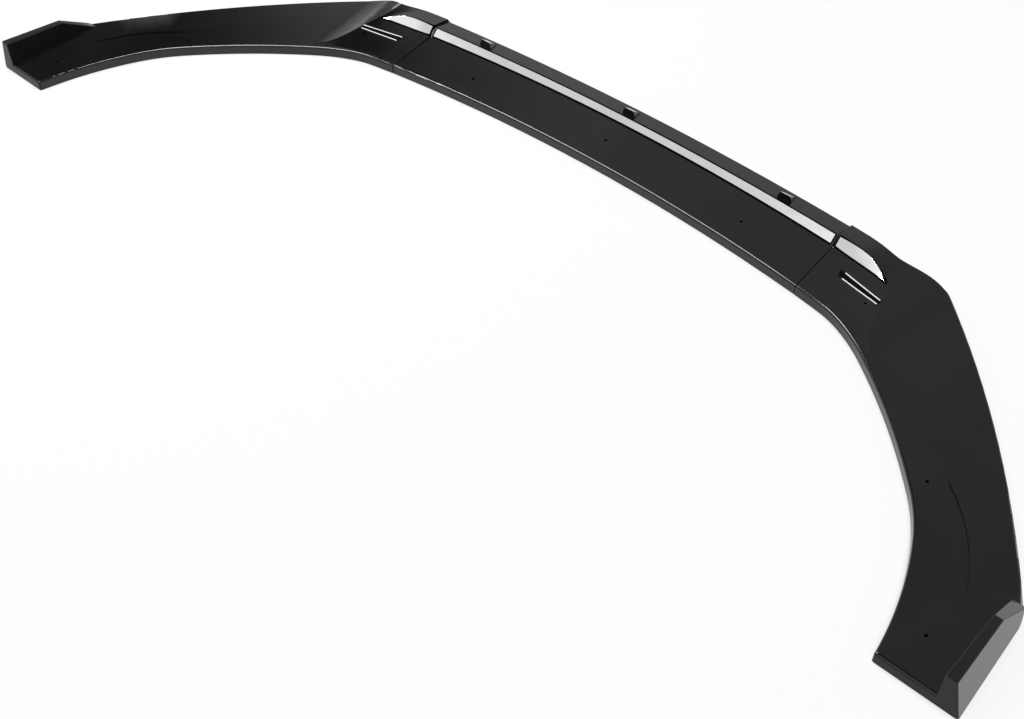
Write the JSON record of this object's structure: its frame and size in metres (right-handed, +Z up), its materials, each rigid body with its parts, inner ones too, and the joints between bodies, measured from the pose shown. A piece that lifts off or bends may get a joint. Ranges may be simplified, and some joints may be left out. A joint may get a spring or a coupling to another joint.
{
  "type": "front splitter lip",
  "caption": "Gloss-black front bumper lip in bolted sections, with a chrome trim band, swept-back wings that end in upright winglets, and screw holes for fixing it under a bumper.",
  "frame": {"origin": "middle of the bounding box, on the plane the rim stands on", "axes": "+Z up, -Y towards the front of the car, +X towards the car's left"},
  "size_m": [1.7456, 0.5829, 0.0538],
  "materials": {
    "gloss_black": "high-gloss black moulding",
    "chrome_trim": "bright chrome plating",
    "screw_steel": "zinc-plated screw"
  },
  "bodies": {
    "root": {"centre_section": "gloss_black", "left_section": "gloss_black", "right_section": "gloss_black", "centre_trim": "chrome_trim", "left_trim": "chrome_trim", "right_trim": "chrome_trim", "joint_screws": "screw_steel"}
  },
  "joints": []
}
